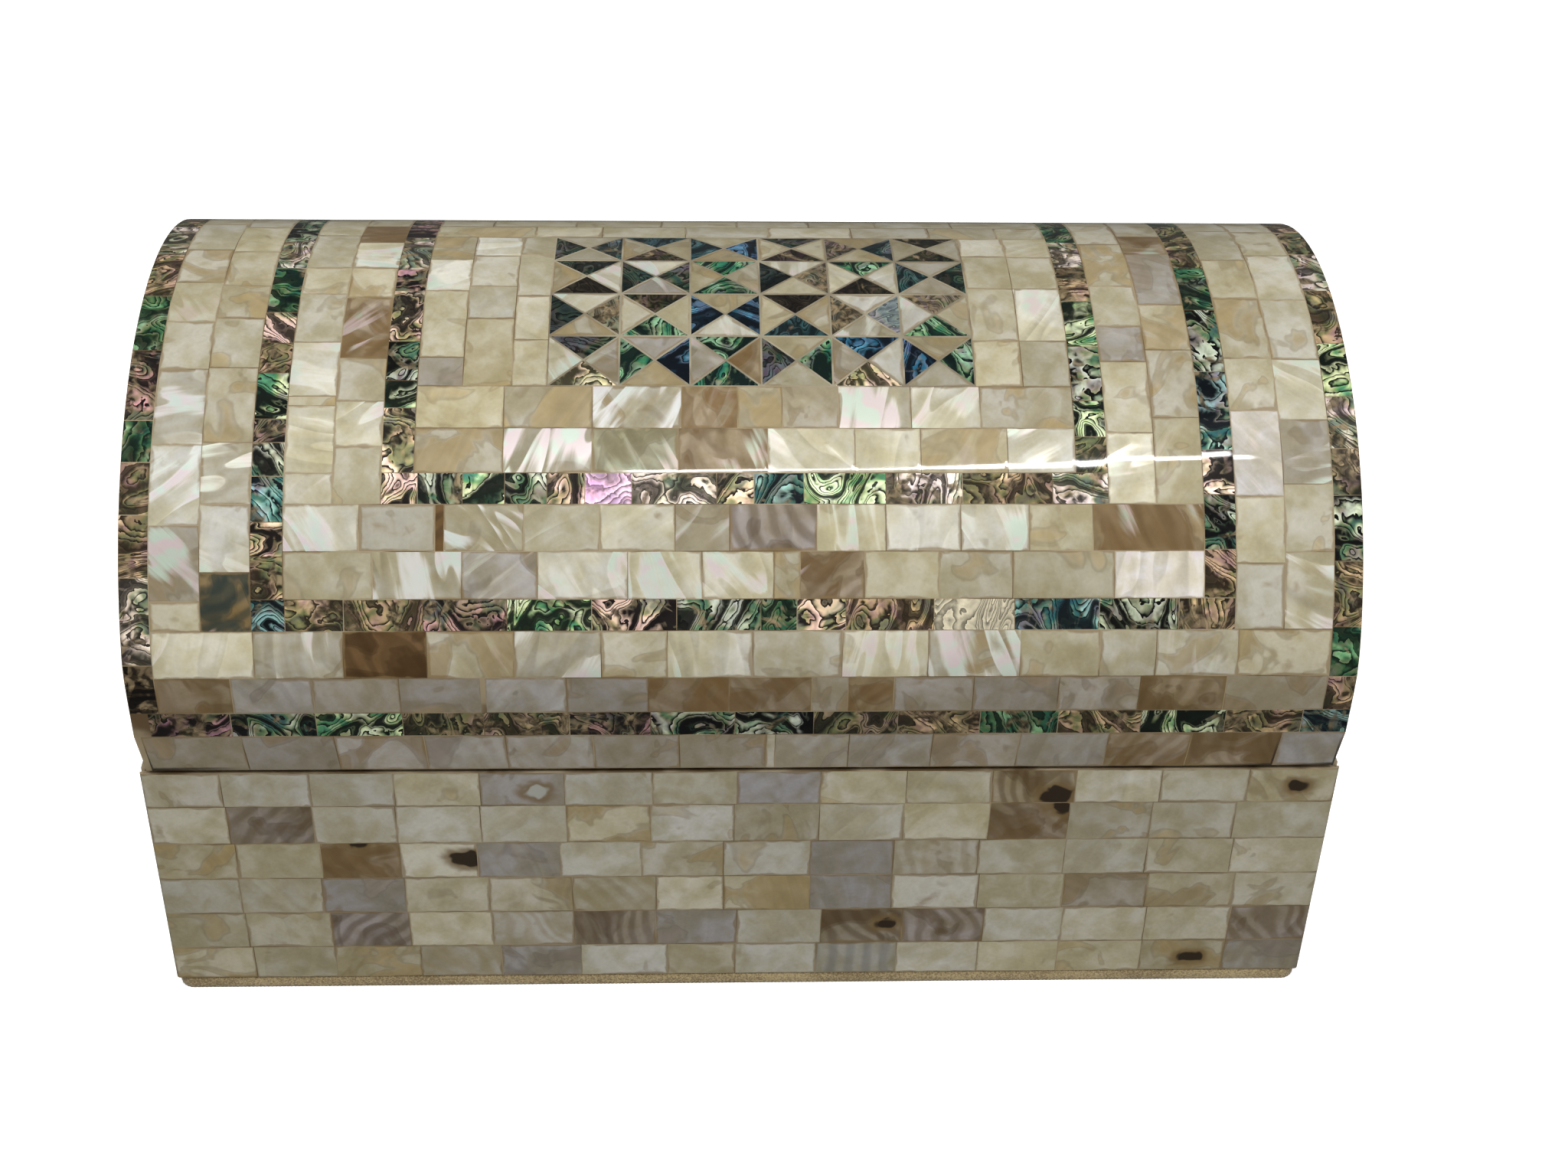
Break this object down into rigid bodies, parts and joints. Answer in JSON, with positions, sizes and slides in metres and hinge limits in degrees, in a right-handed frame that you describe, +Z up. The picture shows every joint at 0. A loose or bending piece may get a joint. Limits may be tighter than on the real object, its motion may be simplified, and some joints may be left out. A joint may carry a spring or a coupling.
{
  "type": "mother of pearl jewelry box",
  "caption": "Oblong jewelry box clad in mother of pearl and abalone mosaic, with a barrel lid that lifts off and a hollow inside.",
  "frame": {"origin": "on the ground under the middle of the box", "axes": "+X along the box's length, to the right as seen from the front; +Y from the front to the back; +Z up"},
  "size_m": [0.28, 0.167, 0.1589],
  "materials": {
    "ivory_shell": "ivory mother of pearl tiles under clear gloss lacquer",
    "abalone_shell": "dark iridescent abalone tiles under clear gloss lacquer",
    "panel_shell": "light and dark shell triangles under clear gloss lacquer",
    "stained_wood": "dark brown stained board",
    "gold_cloth": "gold-beige ribbed cloth over board"
  },
  "bodies": {
    "root": {"foot_board": "gold_cloth", "base_carcass": "stained_wood", "base_mosaic_front": "ivory_shell", "base_mosaic_back": "ivory_shell", "base_mosaic_left": "ivory_shell", "base_mosaic_right": "ivory_shell", "lid_carcass": "stained_wood", "lid_end_mosaic_left": "ivory_shell", "lid_end_mosaic_right": "ivory_shell", "lid_bottom_row_front": "ivory_shell", "lid_bottom_row_back": "ivory_shell", "lid_abalone_strip_front": "abalone_shell", "lid_abalone_strip_back": "abalone_shell", "lid_abalone_edge_left": "abalone_shell", "lid_abalone_edge_right": "abalone_shell", "lid_ivory_field_outer": "ivory_shell", "lid_abalone_frame_outer": "abalone_shell", "lid_ivory_field_middle": "ivory_shell", "lid_abalone_frame_inner": "abalone_shell", "lid_ivory_field_inner": "ivory_shell", "lid_star_panel": "panel_shell"}
  },
  "joints": []
}
